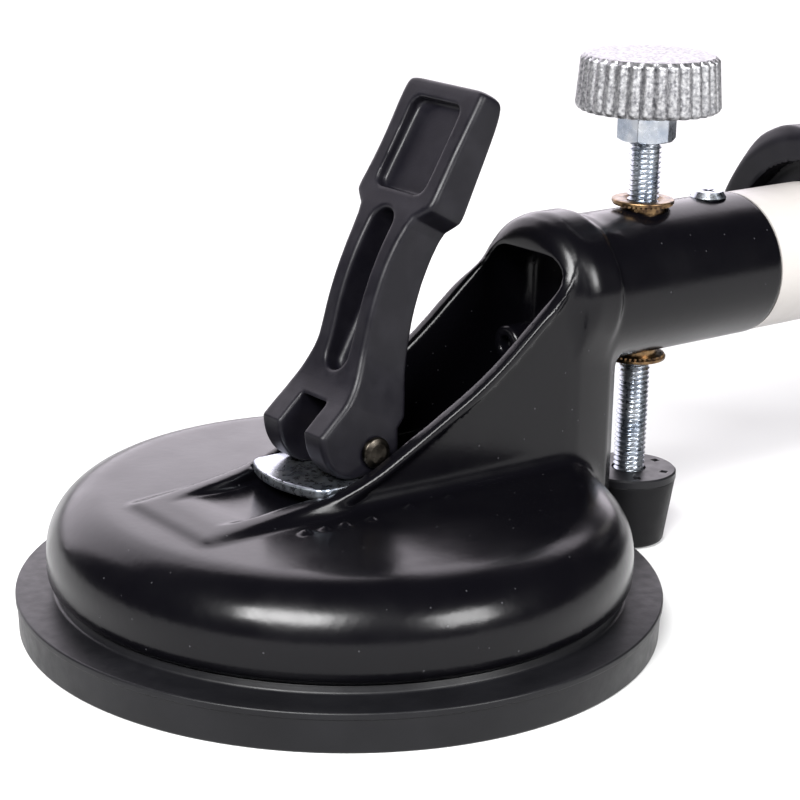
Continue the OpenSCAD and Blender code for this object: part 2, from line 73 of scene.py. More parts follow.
class Recipe:
    """A node material under construction: a Principled shader and the nodes that feed it."""

    def __init__(self, name: str) -> None:
        """Starts an empty material.

        Args:
            name: the material's name.
        """
        self.material = bpy.data.materials.new("finish_" + name)
        self.material.use_nodes = True
        self.tree = self.material.node_tree
        self.tree.nodes.clear()
        output = self.tree.nodes.new("ShaderNodeOutputMaterial")
        self.shader = self.tree.nodes.new("ShaderNodeBsdfPrincipled")
        self.tree.links.new(self.shader.outputs[0], output.inputs[0])
        self.place = self.tree.nodes.new("ShaderNodeTexCoord").outputs["Object"]

    def constant(self, **values: object) -> None:
        """Sets numbers and colours on the shader's own sockets.

        Args:
            values: socket names, with underscores for spaces, and their values.
        """
        for name, value in values.items():
            socket = self.shader.inputs[name.replace("_", " ")]
            socket.default_value = (*value, 1.0) if isinstance(value, tuple) else value

    def feed(self, name: str, source: Socket) -> None:
        """Links an output to one of the shader's inputs.

        Args:
            name: the input's name.
            source: the output.
        """
        self.tree.links.new(source, self.shader.inputs[name])

    def node(self, kind: str, **inputs: object) -> bpy.types.Node:
        """Makes a node and fills its inputs.

        Args:
            kind: the node's type.
            inputs: input names, with underscores for spaces, and an output or a value for each.

        Returns:
            The node.
        """
        node = self.tree.nodes.new("ShaderNode" + kind)
        for name, value in inputs.items():
            socket = node.inputs[name.replace("_", " ")]
            if isinstance(value, Socket):
                self.tree.links.new(value, socket)
            else:
                socket.default_value = value
        return node

    def noise(self, size: float, detail: float = 2.0, stretch: tuple = (1, 1, 1)) -> Socket:
        """Cloudy noise.

        Args:
            size: width of its features in metres.
            detail: octaves.
            stretch: scale of the pattern along each axis.

        Returns:
            A value from 0 to 1.
        """
        place = self.node("Mapping", Vector=self.place, Scale=stretch).outputs[0]
        return self.node("TexNoise", Vector=place, Scale=1.0 / size, Detail=detail).outputs["Fac"]

    def cells(self, size: float) -> Socket:
        """Scattered points.

        Args:
            size: distance between them in metres.

        Returns:
            The distance to the nearest of them, as a share of size.
        """
        return self.node("TexVoronoi", Vector=self.place, Scale=1.0 / size).outputs["Distance"]

    def spread(self, value: Socket, start: float, end: float,
               low: float = 0.0, high: float = 1.0) -> Socket:
        """Maps one stretch of numbers onto another, held at both ends.

        Args:
            value: what is mapped.
            start: the value that gives low.
            end: the value that gives high.
            low: the first result.
            high: the last result.

        Returns:
            The result.
        """
        return self.node("MapRange", Value=value, From_Min=start, From_Max=end, To_Min=low,
                         To_Max=high).outputs[0]

    def blend(self, amount: Socket, first: tuple, second: tuple) -> Socket:
        """Mixes two colours.

        Args:
            amount: the second colour's share.
            first: the first colour.
            second: the second colour.

        Returns:
            The mixed colour.
        """
        node = self.node("Mix")
        node.data_type = "RGBA"
        node.inputs[6].default_value = (*first, 1.0)
        node.inputs[7].default_value = (*second, 1.0)
        self.tree.links.new(amount, node.inputs[0])
        return node.outputs[2]

    def plus(self, first: Socket, second: Socket) -> Socket:
        """Adds two values.

        Args:
            first: one value.
            second: the other.

        Returns:
            Their sum.
        """
        node = self.node("Math")
        node.operation = "ADD"
        self.tree.links.new(first, node.inputs[0])
        self.tree.links.new(second, node.inputs[1])
        return node.outputs[0]

    def bump(self, height: Socket, depth: float, strength: float = 1.0) -> None:
        """Roughens the surface.

        Args:
            height: the relief, from 0 to 1.
            depth: height of the relief in metres.
            strength: how much of it is used.
        """
        node = self.node("Bump", Height=height, Distance=depth, Strength=strength)
        self.feed("Normal", node.outputs[0])


@dataclass(frozen=True)
class Enamel:
    """Black gloss paint on a casting: slow waves, fine orange peel and specks of dust."""

    name: str = "black_enamel"
    colour: tuple = (0.0014, 0.0013, 0.002)
    dust: tuple = (0.03, 0.03, 0.033)
    gloss: tuple = (0.2, 0.27)
    peel: float = 0.0016
    speck: float = 0.0042
    specular: float = 0.2

    def build(self) -> bpy.types.Material:
        """Builds the material.

        Returns:
            The finished material.
        """
        recipe = Recipe(self.name)
        recipe.constant(Specular_IOR_Level=self.specular)
        specks = recipe.spread(recipe.cells(self.speck), 0.035, 0.06, 1.0, 0.0)
        recipe.feed("Base Color", recipe.blend(specks, self.colour, self.dust))
        recipe.feed("Roughness", recipe.spread(recipe.noise(0.011, 4), 0.35, 0.7, *self.gloss))
        recipe.bump(recipe.plus(recipe.noise(self.peel, 2), recipe.noise(0.009, 2)), 0.00003, 0.6)
        return recipe.material


@dataclass(frozen=True)
class Coating:
    """A finish of two tones in soft clouds, with uneven gloss and a fine grain.

    A pattern is (width of its features in metres, octaves). The span is the part of the clouds
    over which the shade takes over, and the relief is (depth in metres, strength).
    """

    name: str
    colour: tuple
    shade: tuple
    gloss: tuple
    clouds: tuple
    span: tuple = (0.35, 0.68)
    haze: tuple = (0.0012, 4)
    grain: tuple = (0.0004, 3)
    relief: tuple = (0.00002, 0.6)
    metallic: float = 0.0
    specular: float = 0.5
    stretch: tuple = (1, 1, 1)

    def build(self) -> bpy.types.Material:
        """Builds the material.

        Returns:
            The finished material.
        """
        recipe = Recipe(self.name)
        recipe.constant(Metallic=self.metallic, Specular_IOR_Level=self.specular)
        share = recipe.spread(recipe.noise(*self.clouds, self.stretch), *self.span)
        recipe.feed("Base Color", recipe.blend(share, self.colour, self.shade))
        recipe.feed("Roughness", recipe.spread(recipe.noise(*self.haze), 0.3, 0.7, *self.gloss))
        recipe.bump(recipe.noise(*self.grain), *self.relief)
        return recipe.material


def black(name: str, colour: tuple, shade: tuple, gloss: tuple, specular: float) -> Coating:
    """Black moulded rubber or plastic: matt, faintly mottled, with a very fine grain.

    Args:
        name: the finish's name.
        colour: its main tone.
        shade: its paler tone.
        gloss: lowest and highest roughness.
        specular: strength of its reflections.

    Returns:
        The finish.
    """
    return Coating(name, colour, shade, gloss, (0.016, 5), (0.35, 0.8), (0.003, 3), (0.0005, 3),
                   (0.00003, 0.5), specular=specular)


def metal(name: str, colour: tuple, shade: tuple, gloss: tuple, cloud: float, grain: float = 0.0004,
          depth: float = 0.00002) -> Coating:
    """A plated or bare metal: cloudy tone and fine grain.

    Args:
        name: the finish's name.
        colour: its bright tone.
        shade: its dark tone.
        gloss: lowest and highest roughness.
        cloud: width of the tone's clouds in metres.
        grain: width of the grain in metres.
        depth: the grain's depth in metres.

    Returns:
        The finish.
    """
    return Coating(name, colour, shade, gloss, (cloud, 5), haze=(grain * 3, 4), grain=(grain, 3),
                   relief=(depth, 0.6), metallic=1.0)


class Finish(Enum):
    """The object's finishes, each with the record's slot that it answers to."""

    ENAMEL = (Enamel(), "black_paint")
    SATIN = (Coating("black_satin", (0.003, 0.0027, 0.0045), (0.006, 0.0056, 0.008), (0.34, 0.46), (0.006, 5),
                     (0.45, 0.75), (0.004, 4), (0.0006, 3), (0.00003, 0.5), specular=0.2), "black_lever")
    RUBBER = (black("black_rubber", (0.003, 0.003, 0.0038), (0.006, 0.006, 0.0072), (0.36, 0.46), 0.2),
              "pad_rubber")
    FOOT_RUBBER = (black("foot_rubber", (0.003, 0.003, 0.0035), (0.006, 0.006, 0.0065), (0.42, 0.56), 0.12),
                   "foot_rubber")
    MOULDING = (black("lid_moulding", (0.006, 0.006, 0.007), (0.012, 0.012, 0.013), (0.34, 0.46), 0.2),
                "black_plastic")
    ZINC = (metal("zinc_plate", (0.46, 0.48, 0.51), (0.28, 0.315, 0.37), (0.22, 0.38), 0.005), "zinc_plate")
    YELLOW_ZINC = (metal("yellow_zinc", (0.22, 0.14, 0.07), (0.045, 0.027, 0.018), (0.24, 0.4), 0.0016),
                   "yellow_zinc")
    CAST = (metal("cast_aluminium", (0.43, 0.43, 0.44), (0.14, 0.14, 0.152), (0.36, 0.52), 0.0008, 0.0005,
                  0.00012), "cast_aluminium")
    STEEL = (metal("plain_steel", (0.055, 0.048, 0.04), (0.013, 0.011, 0.009), (0.26, 0.42), 0.0022, 0.0003),
             "plain_steel")
    SPRING = (metal("spring_steel", (0.30, 0.31, 0.32), (0.20, 0.20, 0.21), (0.3, 0.44), 0.003),
              "spring_steel")
    POWDER = (Coating("white_powder_coat", (0.34, 0.322, 0.308), (0.28, 0.265, 0.253), (0.34, 0.46),
                      (0.006, 6), (0.64, 0.78), (0.005, 3), (0.0012, 2), (0.00003, 0.5), specular=0.4,
                      stretch=(0.5, 2, 2)), "white_paint")

    def material(self) -> bpy.types.Material:
        """Makes the finish's material the first time that it is asked for.

        Returns:
            The material.
        """
        known = bpy.data.materials.get("finish_" + self.value[0].name)
        return known or self.value[0].build()


# ---- Surfaces ----


@dataclass
class Surface:
    """A closed surface in millimetres, with its four-sided and three-sided faces."""

    points: Array
    quads: Array
    tris: Array = field(default_factory=lambda: np.empty((0, 3), int))

    def moved(self, turn: Array, shift: tuple = (0.0, 0.0, 0.0)) -> "Surface":
        """Turns the surface and then shifts it.

        Args:
            turn: the turning matrix.
            shift: the shift in millimetres.

        Returns:
            The moved surface.
        """
        return Surface(self.points @ np.asarray(turn, float).T + shift, self.quads, self.tris)

    def mirrored(self, spacing: float) -> "Surface":
        """Makes the mirror image at the other cup, with its faces turned outward again.

        Args:
            spacing: distance between the two cups' centres.

        Returns:
            The mirror image.
        """
        points = self.points * (-1.0, 1.0, 1.0) + (spacing, 0.0, 0.0)
        return Surface(points, self.quads[:, ::-1], self.tris[:, ::-1])


def turned(radius: Array, height: Array, columns: int = 128, ring: bool = False) -> Surface:
    """Surface of revolution about Z whose radius may also vary with the angle.

    Row i, column j stands at radius[i, j], height[i, j] and the angle 2 pi j / columns.

    Args:
        radius: rows, or rows by columns, of radii.
        height: the same of heights; the outline runs with the solid on its left.
        columns: points round the axis.
        ring: whether the last row joins the first. If not, both ends close at the axis.

    Returns:
        The closed surface.
    """
    radius, height = (np.atleast_2d(np.asarray(part, float).T).T for part in (radius, height))
    rows = len(radius)
    radius, height = (np.broadcast_to(part, (rows, columns)) for part in (radius, height))
    angle = np.arange(columns) * 2 * math.pi / columns
    points = np.stack([radius * np.cos(angle), radius * np.sin(angle), height], -1).reshape(-1, 3)
    row = np.arange(rows if ring else rows - 1)[:, None]
    column = np.arange(columns)[None, :]
    after, above = (column + 1) % columns, (row + 1) % rows
    quads = np.stack([row * columns + column, row * columns + after,
                      above * columns + after, above * columns + column], -1).reshape(-1, 4)
    if ring:
        return Surface(points, quads)
    ends = np.array([[0.0, 0.0, height[0].mean()], [0.0, 0.0, height[-1].mean()]])
    last = (rows - 1) * columns
    around, following = np.arange(columns), (np.arange(columns) + 1) % columns
    tris = np.concatenate([
        np.stack([np.full(columns, rows * columns), following, around], -1),
        np.stack([np.full(columns, rows * columns + 1), last + around, last + following], -1)])
    return Surface(np.concatenate([points, ends]), quads, tris)


def rounded_path(corners: list, ring: bool = False, steps: int = 5) -> Array:
    """Outline with its corners rounded.

    Args:
        corners: (u, v, radius) for each corner; 0 keeps it sharp.
        ring: whether the outline is closed.
        steps: points along each rounding.

    Returns:
        Its points in rows.
    """
    places = np.array([corner[:2] for corner in corners], float)
    out = []
    for i, (_, _, radius) in enumerate(corners):
        if not radius or (not ring and i in (0, len(corners) - 1)):
            out.append(places[i][None])
            continue
        before = places[i - 1] - places[i]
        after = places[(i + 1) % len(corners)] - places[i]
        before, after = before / np.linalg.norm(before), after / np.linalg.norm(after)
        half = math.acos(float(np.clip(before @ after, -1, 1))) / 2
        bisector = (before + after) / np.linalg.norm(before + after)
        centre = places[i] + bisector * radius / math.sin(half)
        start, end = (places[i] + side * radius / math.tan(half) - centre for side in (before, after))
        share = np.linspace(0, 1, steps + 1)[:, None]
        arc = start * (1 - share) + end * share
        out.append(centre + arc * radius / np.linalg.norm(arc, axis=1, keepdims=True))
    return np.concatenate(out)


# ---- Solids as fields ----


def meet(first: Array, second: Array, radius: float | Array = 0.0) -> Array:
    """Meets two solids and rounds their common edge.

    Args:
        first: one solid's field.
        second: the other's.
        radius: the rounding, one for all or one for each point.

    Returns:
        Field of what lies in both.
    """
    if np.ndim(radius) == 0 and not radius:
        return np.maximum(first, second)
    return (np.minimum(np.maximum(first, second), -radius)
            + np.hypot(np.maximum(first + radius, 0), np.maximum(second + radius, 0)))


def merge(first: Array, second: Array, fillet: float = 0.0) -> Array:
    """Grows two solids together.

    Args:
        first: one solid's field.
        second: the other's.
        fillet: about how wide the fillet between them is.

    Returns:
        Field of both.
    """
    lower = np.minimum(first, second)
    if not fillet:
        return lower
    near = np.maximum(fillet - np.abs(first - second), 0)
    return lower - near * near / (4 * fillet)


def ramp(value: Array, start: float, end: float) -> Array:
    """Rises smoothly from 0 to 1.

    Args:
        value: what is looked up.
        start: where the rise begins.
        end: where it ends.

    Returns:
        The height of the rise at each value.
    """
    share = np.clip((value - start) / (end - start), 0, 1)
    return share * share * (3 - 2 * share)


class Outline:
    """A closed outline in a plane as a signed distance, negative inside.

    The distance is exact on a fine square grid, and is read between the grid's points in
    proportion. Beyond the grid it grows with the distance from the grid.
    """

    margin = 5.0

    def __init__(self, corners: Array, spacing: float = 0.4) -> None:
        """Works out the grid.

        Args:
            corners: the outline's corners in rows.
            spacing: distance between the grid's points.
        """
        start = np.asarray(corners, float)
        edge = np.roll(start, -1, 0) - start
        self.low = start.min(0) - self.margin
        self.spacing = spacing
        self.count = np.ceil((start.max(0) + self.margin - self.low) / spacing).astype(int) + 1
        u = (self.low[0] + spacing * np.arange(self.count[0]))[:, None, None] - start[:, 0]
        v = (self.low[1] + spacing * np.arange(self.count[1]))[None, :, None] - start[:, 1]
        along = np.clip((u * edge[:, 0] + v * edge[:, 1]) / (edge ** 2).sum(1), 0, 1)
        gap = np.sqrt(((u - along * edge[:, 0]) ** 2 + (v - along * edge[:, 1]) ** 2).min(-1))
        spans = (v < 0) != (v < edge[:, 1])
        rise = np.where(edge[:, 1] == 0, 1.0, edge[:, 1])
        crossed = (spans & (u < edge[:, 0] * v / rise)).sum(-1)
        self.table = np.where(crossed % 2 == 1, -gap, gap)

    def __call__(self, u: Array, v: Array) -> Array:
        """Looks points up.

        Args:
            u: their first coordinates.
            v: their second coordinates.

        Returns:
            Their signed distances.
        """
        u = (np.asarray(u, float) - self.low[0]) / self.spacing
        v = (np.asarray(v, float) - self.low[1]) / self.spacing
        u_in, v_in = np.clip(u, 0, self.count[0] - 1.001), np.clip(v, 0, self.count[1] - 1.001)
        i, j = u_in.astype(int), v_in.astype(int)
        p, q = u_in - i, v_in - j
        read = self.table
        value = ((read[i, j] * (1 - p) + read[i + 1, j] * p) * (1 - q)
                 + (read[i, j + 1] * (1 - p) + read[i + 1, j + 1] * p) * q)
        return value + np.hypot(u - u_in, v - v_in) * self.spacing


def softened(corners: Array, rounds: int = 2) -> Array:
    """Cuts every corner of an open line to a smooth curve: each edge keeps its middle half.

    Args:
        corners: the line's points in rows.
        rounds: how often it is cut.

    Returns:
        The smooth line, with the same ends.
    """
    for _ in range(rounds):
        start, after = corners[:-1], corners[1:]
        cut = np.stack([start * 0.75 + after * 0.25, start * 0.25 + after * 0.75], 1).reshape(-1, 2)
        corners = np.concatenate([corners[:1], cut[1:-1], corners[-1:]])
    return corners


def spaced(*stretches: tuple) -> Array:
    """Positions along an axis.

    Args:
        stretches: (start, end, spacing) of each stretch, end to end.

    Returns:
        The positions.
    """
    parts = [np.linspace(start, end, round((end - start) / gap), endpoint=False)
             for start, end, gap in stretches]
    return np.append(np.concatenate(parts), stretches[-1][1])


def skin(solid: Callable, axes: tuple) -> Surface:
    """Closed surface on which a solid's field is zero.

    Every edge of the grid that the surface crosses gives one face between the four cells round
    it. A cell's point is the mean of the crossings on its edges, and is then moved along the
    field's slope by the field's value over the slope's length, which puts it on the zero.

    Args:
        solid: field of x, y and z, negative inside.
        axes: the grid's positions along x, y and z.

    Returns:
        The surface.
    """
    probe, gentlest, longest = 0.02, 0.3, 0.4
    values = solid(*np.meshgrid(*axes, indexing="ij", sparse=True))
    inside = values < 0
    rings, places = [], []
    for axis in range(3):
        step = np.eye(3, dtype=int)[axis]
        lower = inside[tuple(slice(0, -1) if a == axis else slice(None) for a in range(3))]
        upper = inside[tuple(slice(1, None) if a == axis else slice(None) for a in range(3))]
        start = np.argwhere(lower != upper)
        end = start + step
        first, second = values[tuple(start.T)], values[tuple(end.T)]
        share = (first / (first - second))[:, None]
        near, far = (np.stack([axes[a][index[:, a]] for a in range(3)], 1) for index in (start, end))
        places.append(near * (1 - share) + far * share)
        around = np.zeros((4, 3), int)
        around[:, (axis + 1) % 3] = (-1, 0, 0, -1)
        around[:, (axis + 2) % 3] = (-1, -1, 0, 0)
        cells = start[:, None, :] + around
        ring = np.ravel_multi_index(tuple(np.moveaxis(cells, -1, 0)), values.shape)
        rings.append(np.where((first < 0)[:, None], ring, ring[:, ::-1]))
    ring = np.concatenate(rings)
    _, corner = np.unique(ring, return_inverse=True)
    corner = corner.reshape(-1)
    crossing = np.repeat(np.concatenate(places), 4, axis=0)
    total = np.bincount(corner)
    points = np.stack([np.bincount(corner, crossing[:, a]) / total for a in range(3)], 1)
    for _ in range(2):
        value = solid(*points.T)
        slope = np.stack([solid(*(points + probe * unit).T) - value for unit in np.eye(3)], 1) / probe
        move = np.clip(value / np.maximum((slope ** 2).sum(1), gentlest), -longest, longest)
        points = points - slope * move[:, None]
    return Surface(points, corner.reshape(-1, 4))


def add_piece(name: str, surface: Surface, finish: Finish, body: str, nodes: tuple,
              crease: float = 42.0) -> bpy.types.Object:
    """Puts a surface into the scene as one piece of the object.

    Args:
        name: the piece's name.
        surface: its surface in millimetres.
        finish: its finish.
        body: the body that it rides on.
        nodes: the CAD nodes that it stands for.
        crease: angle in degrees beyond which an edge is shown sharp.

    Returns:
        The new object.
    """
    mesh = bpy.data.meshes.new(name)
    mesh.from_pydata((surface.points * MM).tolist(), [], surface.quads.tolist() + surface.tris.tolist())
    mesh.shade_smooth()
    mesh.set_sharp_from_angle(angle=math.radians(crease))
    mesh.materials.append(finish.material())
    piece = bpy.data.objects.new(name, mesh)
    bpy.context.scene.collection.objects.link(piece)
    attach(piece, body)
    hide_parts(*nodes)
    LOG.info("%s: %d faces", name, len(mesh.polygons))
    return piece


# ---- The casting ----


@dataclass
class Casting:
    """The housing: dome, trough with its lip, hood and socket. Sizes in millimetres."""

    dome_r: float = 67.8
    dome_low: float = 11.2
    dome_top: float = 33.0
    crown: float = 0.0183
    shoulder: float = 13.2
    tube_z: float = 69.0
    socket_r: float = 18.3
    socket_end: float = 124.0
    hood_r: float = 20.3
    hood_front: float = 54.5
    hood_back: float = 68.0
    wall: float = 3.1
    lip_out: float = 1.0
    lip_h: float = 2.8
    floor_z: float = 35.3
    roof_z: float = 80.5
    bore_r: float = 15.0
    bore_start: float = 72.0
    screw_x: float = 91.2
    lock_x: float = 114.0
    boss_z: float = 58.5
    boss_r: float = 4.5
    bump_z: float = 32.1
    plan: tuple = ((-46, 13.2), (-23, 14.4), (-8, 16.4), (14, 17.2), (54, 17.2), (58, 16.9),
                   (70, 13.8), (74.2, 11.2), (75, 9))
    rim: tuple = ((-46, 31.5, 0), (-7.7, 37.2, 60), (30, 57.3, 100), (54, 77, 12), (55.6, 95, 0))
    bumps: tuple = ((-25.9, 21.8, 1.1), (-20.9, 22.2, 1.0), (-15.8, 22.7, 1.2), (-8.6, 22.9, 1.0),
                    (3.2, 21.6, 1.1), (14.8, 21.4, 1.0))

    def __post_init__(self) -> None:
        """Works out the outlines of the side view and the plan."""
        rim = rounded_path(list(self.rim), steps=14)
        self.below_rim = Outline(np.concatenate([rim, [(140, 95), (140, -30), (-46, -30)]]))
        rear = rounded_path([(84, 66, 0), (82.5, 60, 10), (75, 46, 10), (75, 12, 0)], steps=8)
        self.side = Outline(np.concatenate([rim[:-1], [(55, 89), (72, 89)], rear, [(50, 12), (-46, 26)]]))
        half = rounded_path([(x, y, 3.0 if x > 50 else 0) for x, y in self.plan], steps=6)
        self.foot = Outline(np.concatenate([half, half[::-1] * (1, -1)]))
        valley = np.array([(-47, 9.6), (-23, 10.9), (-13, 12.6), (-10, 12.6)])
        self.valley = Outline(np.concatenate([valley, valley[::-1] * (1, -1)]))

    def dome(self, x: Array, y: Array, z: Array) -> Array:
        """Dome: upright side, quarter-round shoulder and a top coned by one degree.

        Args:
            x, y, z: the points' coordinates.

        Returns:
            The field, negative inside.
        """
        far = np.hypot(x, y)
        top = z - self.dome_top + self.crown * far
        return meet(meet(far - self.dome_r, top, self.shoulder), self.dome_low - z, 3.6)

    def tower(self, x: Array, y: Array, z: Array) -> Array:
        """Walls: side view, plan and arch met together, and the lip along the rim.

        Args:
            x, y, z: the points' coordinates.

        Returns:
            The field, negative inside.
        """
        plan = self.foot(x, y)
        arch = np.hypot(y, np.maximum(z - self.tube_z, 0)) - self.socket_r - 0.2
        wall = meet(meet(self.side(x, z), plan, 1.3), arch, 4.5)
        rim = self.below_rim(x, z)
        lip = meet(meet(rim, -rim - self.lip_h, 0.9), meet(plan - self.lip_out, arch - 0.4, 3.0),
                   1.1 + 3.6 * ramp(z, 68, 78))
        return merge(wall, lip, 0.5)

    def barrel(self, x: Array, y: Array, z: Array) -> Array:
        """Socket, and the hood that stands out from its upper half.

        Args:
            x, y, z: the points' coordinates.

        Returns:
            The field, negative inside.
        """
        rise = np.hypot(y, z - self.tube_z)
        hood_r = self.socket_r - 0.3 + (self.hood_r - self.socket_r + 0.3) * ramp(z, 58, 74)
        hood = meet(meet(rise - hood_r, self.hood_front - x, 6.5), x - self.hood_back, 1.6)
        socket = meet(meet(rise - self.socket_r, x - self.socket_end, 1.3), 58 - x)
        return meet(merge(hood, socket, 1.6), self.tube_z - 19 - z)

    def hollows(self, x: Array, y: Array, z: Array) -> Array:
        """Everything that the casting is hollowed by, apart from the trough.

        Args:
            x, y, z: the points' coordinates.

        Returns:
            The field, negative inside.
        """
        far, rise = np.hypot(x, y), np.hypot(y, z - self.tube_z)
        inner = meet(meet(far - 58, z - 27.3, 9), 9 - z)
        bore = meet(rise - self.bore_r, self.bore_start - x)
        stem = meet(far - 4.5, 24 - z)
        insert = meet(np.hypot(x - self.screw_x, y) - 5.5, 40 - z)
        lock = meet(np.hypot(x - self.lock_x, y) - 3, self.tube_z - z)
        plate = meet(meet(np.hypot(x - 7, y) - 26.6, np.abs(y) - 14.2), meet(x - 14.3, self.floor_z - z))
        return np.minimum(np.minimum(np.minimum(inner, bore), np.minimum(stem, insert)),
                          np.minimum(lock, plate))

    def trough(self, x: Array, y: Array, z: Array) -> Array:
        """Trough, whose plan is the walls' plan drawn in by their thickness.

        Args:
            x, y, z: the points' coordinates.

        Returns:
            The field, negative inside.
        """
        plan = self.foot(x, y) + self.wall
        sides = meet(meet(plan, z - self.roof_z, 7), self.floor_z - z, 1.6)
        deep = meet(meet(sides, x - 66, 3), -14 - x)
        shallow = meet(self.valley(x, y), self.dome_top - 0.7 - 0.1 * (x + 14) * ramp(x, -20, -50) - z, 1.2)
        return np.minimum(deep, shallow)

    def solid(self, x: Array, y: Array, z: Array) -> Array:
        """The whole casting.

        Args:
            x, y, z: the points' coordinates.

        Returns:
            The field, negative inside.
        """
        body = merge(self.dome(x, y, z), self.tower(x, y, z), 4.5)
        seat = meet(meet(np.hypot(x, y) - 13, z - self.floor_z, 0.6), 27 - z)
        body = merge(merge(body, self.barrel(x, y, z), 3.0), seat, 0.8)
        for along, aside, size in self.bumps:
            lump = np.sqrt((x - along) ** 2 + (y + aside) ** 2 + (z - self.bump_z) ** 2) - size
            body = merge(body, lump, 1.3)
        body = meet(body, -self.trough(x, y, z), 1.2)
        body = meet(body, -self.hollows(x, y, z), 0.5)
        far = np.hypot(y, z - self.boss_z)
        boss = meet(meet(far - self.boss_r, 48 - x, 0.8), x - 67)
        boss = meet(boss, -meet(far - 2, x - 51), 0.4)
        return merge(body, boss, 1.0)

    def surface(self) -> Surface:
        """Skins the casting, finer round the trough than on the dome.

        Returns:
            The surface.
        """
        return skin(self.solid, (
            spaced((-69.2, -48, 1.6), (-48, -26, 1.0), (-26, 72, 0.75), (72, 121, 1.6), (121, 125.5, 0.7)),
            spaced((-69.2, -25, 1.6), (-25, 22, 0.68), (22, 69.2, 1.6)),
            spaced((9.8, 31, 1.2), (31, 91, 0.72))))


# ---- The lever ----


@dataclass
class LeverShape:
    """The lever, with s along it from the pin and n towards its front. Sizes in millimetres."""

    lean: float = 28.0
    pin_z: float = 43.5
    pin_r: float = 3.06
    cam_base: float = 5.8
    cam_rise: float = 5.5
    cam_end: float = 90.0
    slot_half: float = 4.7
    length: float = 83.6
    front: tuple = ((3, 13.6), (7, 12.1), (12, 11.2), (18, 11.5), (23, 12.6), (28, 13.8), (33, 14.6),
                    (38, 15.1), (44, 15.2), (51, 14.7), (55, 14.2), (60, 13.8), (68, 13.4),
                    (82, 13.1), (83.5, 12.3))
    back: tuple = ((83.9, 8.0), (82.2, 5.7), (70, 4.2), (58, 3.7), (51, 3.9), (44, 3.5), (38, 2.9), (31, 1.6),
                   (24, -0.8), (17, -3.4), (10, -5.6))
    half: tuple = ((-25, 12), (6, 12), (10, 11.2), (14, 10.2), (18, 9.1), (22, 8.7), (50, 8.7), (53.4, 12.9),
                   (54.8, 14.0), (60, 13.7), (68, 13.5), (81, 14.0), (83.2, 13.2), (84.1, 11.0), (84.2, 8))

    def __post_init__(self) -> None:
        """Works out the outlines of the side view and the front view."""
        lean = math.radians(self.lean)
        turn = np.radians(np.linspace(0, self.cam_end, 25))
        lift = self.cam_base + self.cam_rise * turn
        cam = np.stack([-lift * np.sin(turn) - self.cam_rise * np.cos(turn),
                        -lift * np.cos(turn) + self.cam_rise * np.sin(turn)], 1)
        heel = np.array([(7.4, 4), (7.4, -3.6), (5.2, -self.cam_base)])
        upright = np.array([(math.sin(lean), math.cos(lean)), (-math.cos(lean), math.sin(lean))])
        outline = np.concatenate([cam @ upright.T, softened(np.array(self.front + self.back)),
                                  heel @ upright.T])
        self.side = Outline(outline, 0.25)
        half = softened(np.array(self.half))
        self.face = Outline(np.concatenate([half, half[::-1] * (1, -1)]), 0.25)

    def solid(self, s: Array, y: Array, n: Array) -> Array:
        """The lever in its own frame.

        Args:
            s: the points' distances from the pin along the lever.
            y: their second coordinates.
            n: their distances towards its front.

        Returns:
            The field, negative inside.
        """
        lean = math.radians(self.lean)
        upright = s * math.cos(lean) + n * math.sin(lean)
        body = meet(self.side(s, n), self.face(s, y), 1.3)
        clevis = meet(np.abs(y) - self.slot_half, upright - 11, 0.6)
        body = meet(body, -clevis, 0.7)
        long_slot = np.hypot(y, np.maximum(np.abs(s - 32.75) - 15.45, 0)) - 3.7
        body = meet(body, -meet(long_slot, 6.8 - n, 1.4), 0.9)
        recess = meet(np.abs(y) - 8.7, np.abs(s - 67.7) - 11.2, 2.8)
        body = meet(body, -meet(recess, 11.3 - 0.05 * (s - 60) - n, 0.9), 0.5)
        return meet(body, self.pin_r - np.hypot(s, n), 0.4)

    def surface(self) -> Surface:
        """Skins the lever, leaning as it does when released.

        Returns:
            The surface.
        """
        gap = 0.46
        own = skin(self.solid, (spaced((-17, 85, gap)), spaced((-14, 14, gap)), spaced((-16, 17, gap))))
        lean = math.radians(self.lean)
        turn = np.array([(math.sin(lean), 0, -math.cos(lean)), (0, 1, 0),
                         (math.cos(lean), 0, math.sin(lean))])
        return own.moved(turn, (0, 0, self.pin_z))


# ---- Small parts of a cup ----


